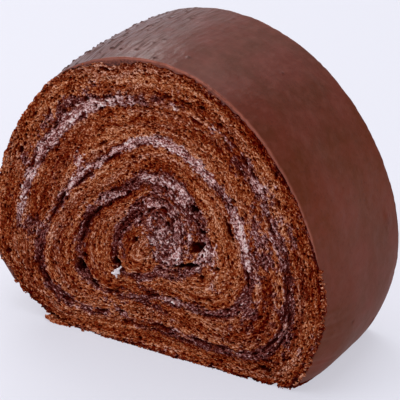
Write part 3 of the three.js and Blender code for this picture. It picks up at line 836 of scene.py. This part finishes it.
def coat_material():
    """Set chocolate glaze: smoother and glossier on top, duller towards the foot, and painted darker
    on top as shade that evens out the light from above.

    Browns clouded 9 mm across, with smudges and 0.7 mm of grime. At the upper left, in the palette
    knife's marks, under 1 mm wide, a greyish painted sheen, the reflection of the bright
    surroundings, between dark dull streaks of painted shade. Crumbly brown where it was cut, dull
    dark freckles, and a painted highlight along the cut edge, broken up in places."""
    material, tree, place = new_material("Set chocolate glaze, satin")
    grain, *masks = [
        add_node(tree, "Attribute", {}, attribute_name=mask)
        for mask in ("grain", "painted_sheen_area", "sliced", "freckle", "edge_highlight")
    ]
    grain = grain.outputs["Vector"]
    painted_sheen_area, sliced, freckle, edge_highlight = [mask.outputs["Fac"] for mask in masks]
    long = add_node(tree, "VectorMath", {0: grain, 1: (1, 1, 0.12)}, operation="MULTIPLY")
    clouds, marks, fine, smudges = [
        add_node(tree, "TexNoise", {"Vector": way, "Scale": 1 / (size * MM), "Detail": detail})
        for way, size, detail in ((place, 9, 5), (long, 0.9, 4), (place, 0.7, 3), (place, 2.4, 4))
    ]
    height = add_node(tree, "SeparateXYZ", {0: place}).outputs[2]
    cloudy, rise, grimy, wiped, shaded, streaked, crumbs, dull = [
        add_node(tree, "MapRange", {0: value, 1: start, 2: end, 3: first, 4: last})
        for value, start, end, first, last in (
            (clouds, 0.36, 0.64, 0, 1),
            (height, 45 * MM, 75 * MM, 0, 1),
            (fine, 0.55, 0.8, 0, 0.4),
            (smudges, 0.45, 0.75, 0, 0.25),
            (marks, 0.36, 0.5, 0.9, 0),
            (marks, 0.4, 0.66, 0, 0.85),
            (fine, 0.4, 0.65, 0, 1),
            (height, 20 * MM, 75 * MM, 0.6, 0.28),
        )
    ]
    shaded, streaked, scratched = [
        add_node(tree, "Math", {0: value, 1: painted_sheen_area}, operation="MULTIPLY")
        for value in (shaded, streaked, marks)
    ]
    # The top is painted darker than the foot: painted shade that evens out the light from above.
    low = painted(tree, "#6a2f12", [(cloudy, "#76331e")])
    high = painted(tree, "#54210b", [(cloudy, "#602517")])
    crumbly = painted(tree, "#4a1a12", [(crumbs, "#8c4c3a")])
    skin = [(rise, high), (grimy, "#421608"), (wiped, "#84493d")]
    # Painted shade in the dark streaks and a greyish painted sheen in the lighter ones, both only at
    # the upper left.
    scraped = [(shaded, "#341410"), (streaked, "#56393d")]
    edge = [(sliced, crumbly), (freckle, "#2e0e08"), (edge_highlight, "#a6604f")]
    colour = painted(tree, low, [*skin, *scraped, *edge])
    rough = weighed(tree, 0, [(marks, 0.3), (scratched, 1.2), (fine, 0.4), (smudges, 0.8)])
    dull = weighed(tree, dull, [(shaded, 0.4), (freckle, 0.5)])
    finish_material(tree, colour, dull, 0.18, rough, 0.5, 0.2 * MM)
    return material


coat_turns = np.linspace(COAT_START, COAT_END, 640)
thickness = coat_inset(coat_turns)
coat_outer = outline(coat_turns, 0 * coat_turns)
coat_inner = outline(coat_turns, thickness)
across, through = profile_shares(5, 3, 5, 130)
from_cut = np.minimum(through, 1 - through) * 2 * HALF_LENGTH
from_skin = across * thickness[:, None]
rounding = ROUNDED_OFF * np.exp(-from_skin / CORNER) * np.exp(-from_cut / CORNER)
from_middle = 2 * through - 1
y = (coat_edge(coat_turns[:, None], from_middle) - rounding) * from_middle
pressed, freckle, painted_sheen_area = coat_relief(coat_turns, y)
skin = across == 0
outwards = swelling(coat_turns[:, None], through)
outwards = outwards - skin * (pressed * (1 - np.exp(-from_cut / 2)) + rounding)
outwards = outwards - (across == 1) * TUCK * step_up(from_cut, 0, 2)
flat = coat_outer[:, None] + (coat_inner - coat_outer)[:, None] * across[None, :, None]
flat = moved_out(flat, outwards)
coat_points = np.stack([flat[..., 0], y, np.maximum(flat[..., 1], 0)], -1)
arc = coat_turns[:, None] * ROUND_LOG + 0 * y
broken = step_up(layered_noise(arc, y, (1, 1.2, 98), (0.5, 0.4, 99)), -0.1, 0.6)
light = np.clip(bumps(coat_turns, EDGE_HIGHLIGHT), 0, 1)[:, None]
light = light * broken * np.where(through < 0.5, 1, EDGE_HIGHLIGHT_AT_BACK)
# A painted highlight along the cut edge, where the skin meets the cut.
edge_highlight = np.exp(-(((from_skin + 1.5 * from_cut) / EDGE_HIGHLIGHT_WIDTH) ** 2)) * light
masks = dict(edge_highlight=edge_highlight, sliced=(from_cut < 0.01) * (1 - edge_highlight), freckle=freckle * skin, painted_sheen_area=painted_sheen_area)
masks["grain"] = np.stack([arc, from_skin, y], -1) * MM
coat = band_piece("chocolate_skin", coat_points, masks, coat_material())
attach(coat, "root")
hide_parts("chocolate_coat")

# ---- Loose crumbs ------------------------------------------------------------------------------
# Crumbs that the knife pulled out of the sponge. They cling to the cut edge, most of all at the
# lower right, where they lie over the coat, and along the foot; one bigger flake hangs at the left.

BALL_RINGS, BALL_SPOKES = 4, 6


def crumb_heap(name, places, radii, leans, seed, masks, material):
    """Many lumpy balls in one mesh: unit spheres of rings and spokes, each corner's radius random,
    stretched by three radii and leant over in the plane of the cut."""
    generator = np.random.default_rng(seed)
    count = len(places)
    down = np.linspace(0, np.pi, BALL_RINGS + 1)[1:-1, None]
    round_ = np.linspace(0, FULL_TURN, BALL_SPOKES, endpoint=False)
    out = np.sin(down)
    ring = np.stack([out * np.cos(round_), out * np.sin(round_), np.cos(down) + 0 * round_], -1)
    ball = np.concatenate([[[0, 0, 1]], ring.reshape(-1, 3), [[0, 0, -1]]])
    lumps = 0.6 + 0.8 * generator.random((count, len(ball), 1))
    stretched = ball * lumps * radii[:, None]
    cosine, sine = np.cos(leans)[:, None], np.sin(leans)[:, None]
    x = stretched[..., 0] * cosine - stretched[..., 2] * sine
    z = stretched[..., 0] * sine + stretched[..., 2] * cosine
    corners = places[:, None] + np.stack([x, stretched[..., 1], z], -1)
    corners[..., 2] = np.maximum(corners[..., 2], 0.02)
    corners = corners.reshape(-1, 3) * MM
    index = 1 + np.arange(len(ball) - 2).reshape(-1, BALL_SPOKES)
    index = np.vstack([0 * index[0], index, 0 * index[0] + len(ball) - 1])
    onwards = np.roll(index, -1, axis=1)
    lower = np.stack([index[:-2], index[1:-1], onwards[1:-1]], -1)
    upper = np.stack([index[1:-1], onwards[2:], onwards[1:-1]], -1)
    one_ball = np.concatenate([lower, upper]).reshape(-1, 3)
    faces = one_ball + (np.arange(count) * len(ball))[:, None, None]
    mesh = bpy.data.meshes.new(name)
    mesh.from_pydata(corners.tolist(), [], faces.reshape(-1, 3).tolist())
    masks = {label: np.full(len(corners), value) for label, value in masks.items()}
    return finish_mesh(name, mesh, dict(grain=corners, **masks), material)


# Along the front cut's edge: count, first and last turn, and then the range of the depth in from
# the edge, of the depth behind the cut, and of the radius.
CLINGING = [
    (110, 0.485, 0.6, (0.5, -0.2), (-0.15, 1.1), (0.15, 0.5)),
    (40, 0.49, 0.58, (0.1, -0.15), (0.8, 2.6), (0.12, 0.3)),
    (36, 0.6, 0.88, (0.8, 0.2), (-0.5, -0.1), (0.15, 0.4)),
    (12, 0.88, 0.925, (0.6, 0.2), (0.1, 0.5), (0.2, 0.45)),
    (14, -0.06, 0.2, (0.7, 0.3), (0.2, 0.5), (0.15, 0.35)),
]
# The torn lip of the sheet, low at the left: place and three radii of its crumbs, and their lean.
LIP = np.array([
    (-33.2, -20, 0.7, 1.5, 0.8, 0.6), (-31.8, -20.3, 0.6, 1.6, 0.7, 0.6),
    (-30, -20.4, 0.6, 1.6, 0.6, 0.6), (-32.6, -19.4, 0.9, 1.4, 1, 0.6),
    (-28.4, -20.4, 0.5, 1.4, 0.6, 0.5),
])
LIP_LEAN = -0.15
generator = np.random.default_rng(200)
places, radii = [], []
for count, first, last, inset, depth, sizes in CLINGING:
    turn = first + (last - first) * generator.random(count)
    edge = outline(turn, inset[0] + (inset[1] - inset[0]) * generator.random(count))
    edge = moved_out(edge, swelling(turn, 0 * turn))
    y = -HALF_LENGTH + depth[0] + (depth[1] - depth[0]) * generator.random(count)
    places.append(np.stack([edge[:, 0], y, edge[:, 1]], -1))
    size = sizes[0] + (sizes[1] - sizes[0]) * generator.random((count, 1)) ** 2
    radii.append(size * (0.6 + 0.9 * generator.random((count, 3))))
places = np.concatenate([*places, LIP[:, :3]])
radii = np.concatenate([*radii, LIP[:, 3:]])
places[:, 2] = np.maximum(places[:, 2], 0.6 * radii[:, 2])
leans = FULL_TURN * generator.random(len(places))
leans[-len(LIP) :] = LIP_LEAN
masks = dict(pore_shade=0.1, cream=0, stain=0.15)
crumbs = crumb_heap("clinging_crumbs", places, radii, leans, 400, masks, SPONGE_CRUMB)
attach(crumbs, "root")

# ---- A white fleck -----------------------------------------------------------------------------
# One near-white fleck, standing in an air pocket, whiter than anything round it.

# Its ragged points: place, three radii, and lean in degrees.
FLECK = np.array([
    (-11.4, -20.1, 20.5, 0.75, 0.3, 0.7, 40), (-12, -20.2, 19.9, 0.6, 0.3, 0.45, 30),
    (-12.7, -20.1, 19.8, 0.5, 0.25, 0.25, 10), (-10.9, -20.2, 21.2, 0.5, 0.35, 0.6, -20),
    (-10.3, -20, 21.9, 0.25, 0.3, 0.6, -35), (-10.8, -20.1, 20.3, 0.5, 0.3, 0.3, -10),
    (-11.6, -20, 19.2, 0.3, 0.25, 0.5, 20),
])


def fleck_material():
    """Almost white with a breath of lilac, matt, faintly mottled."""
    material, tree, place = new_material("Near-white fleck, matt")
    mottle = add_node(tree, "TexNoise", {"Vector": place, "Scale": 1 / (0.6 * MM), "Detail": 2})
    tint = painted(tree, "#d8c4c8", [(mottle, "#fffafc")])
    finish_material(tree, tint, 0.7, 0.2, mottle, 0.3, 0.1 * MM)
    return material


places, radii, leans = FLECK[:, :3], FLECK[:, 3:6], np.radians(FLECK[:, 6])
fleck = crumb_heap("white_fleck", places, radii, leans, 401, {}, fleck_material())
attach(fleck, "root")

# ---- Table, light and camera -------------------------------------------------------------------
# A pale table under soft daylight. The slice is seen from its front right, from a little above.

TABLE_HALF = 3.0  # metres


def table_material():
    """Smooth milky acrylic over a weak lamp, off-white with a breath of blue: faint shadows."""
    material, tree, place = new_material("Milky acrylic, lit from below")
    clouds = add_node(tree, "TexNoise", {"Vector": place, "Scale": 4})
    tint = painted(tree, "#8d8e96", [(clouds, "#909097")])
    shader = finish_material(tree, tint, 0.6, 0.2, clouds, 0.02, MM)
    shader.inputs["Emission Color"].default_value = linear("#f4f4ff")
    shader.inputs["Emission Strength"].default_value = 0.55
    return material


table_corners = TABLE_HALF * np.array([(-1, -1, 0), (1, -1, 0), (1, 1, 0), (-1, 1, 0)])
table_mesh = bpy.data.meshes.new("table")
table_mesh.from_pydata(table_corners.tolist(), [], [(0, 1, 2, 3)])
table = finish_mesh("table", table_mesh, {}, table_material())
table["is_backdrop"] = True

# A light tent: brighter overhead and at the back left, darker at the right.
world = bpy.data.worlds.new("Light tent")
bpy.context.scene.world = world
world.use_nodes = True
sky = world.node_tree
towards = add_node(sky, "TexCoord", {}).outputs["Generated"]
height = add_node(sky, "VectorMath", {0: towards, 1: (-0.6, 0.45, 0.65)}, operation="DOT_PRODUCT")
glow = add_node(sky, "MapRange", {0: height.outputs["Value"], 1: -0.4, 2: 1, 3: 0.08, 4: 0.72})
background = sky.nodes["Background"]
background.inputs["Color"].default_value = linear("#fbfbff")
sky.links.new(glow.outputs[0], background.inputs["Strength"])

# Square area lights: place, size, power, and the point that each is turned to.
for name, place, size, power, target in [
    ("overhead", (0, 0, 0.9), 0.6, 3.2, (0, 0, 0)),
    ("window", (-0.6, 0.5, 0.65), 0.5, 2.6, (0, 0, 0.03)),
    ("behind", (0, 0.6, 0.9), 0.5, 1, (0, 0.1, 0)),
    ("front_left", (-0.5, -0.5, 0.5), 0.4, 1.6, (0, 0, 0.03)),
    ("front_right", (0.6, -0.5, 0.6), 0.4, 1.3, (0, 0, 0.04)),
]:
    lamp = bpy.data.lights.new(name, "AREA")
    lamp.size = size
    lamp.energy = power
    softbox = bpy.data.objects.new(name, lamp)
    softbox.location = place
    direction = Vector(target) - Vector(place)
    softbox.rotation_euler = direction.to_track_quat("-Z", "Y").to_euler()
    bpy.context.scene.collection.objects.link(softbox)

CAMERA_PLACE = (0.27790, -0.46761, 0.29559)
CAMERA_DOWN, CAMERA_ROUND = 25.54, 30.55  # degrees below level, and to the right of the front cut
camera_lens = bpy.data.cameras.new("camera")
camera_lens.lens = 207.07  # mm, on a sensor 36 mm wide
camera = bpy.data.objects.new("camera", camera_lens)
camera.location = CAMERA_PLACE
camera.rotation_euler = np.radians((90 - CAMERA_DOWN, 0, CAMERA_ROUND))
bpy.context.scene.collection.objects.link(camera)
bpy.context.scene.camera = camera
bpy.context.scene.view_settings.view_transform = "Standard"

sizes = {
    "cad": [list(cad_low), list(cad_high)],
    "visual": [list(corner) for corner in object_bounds()],
}
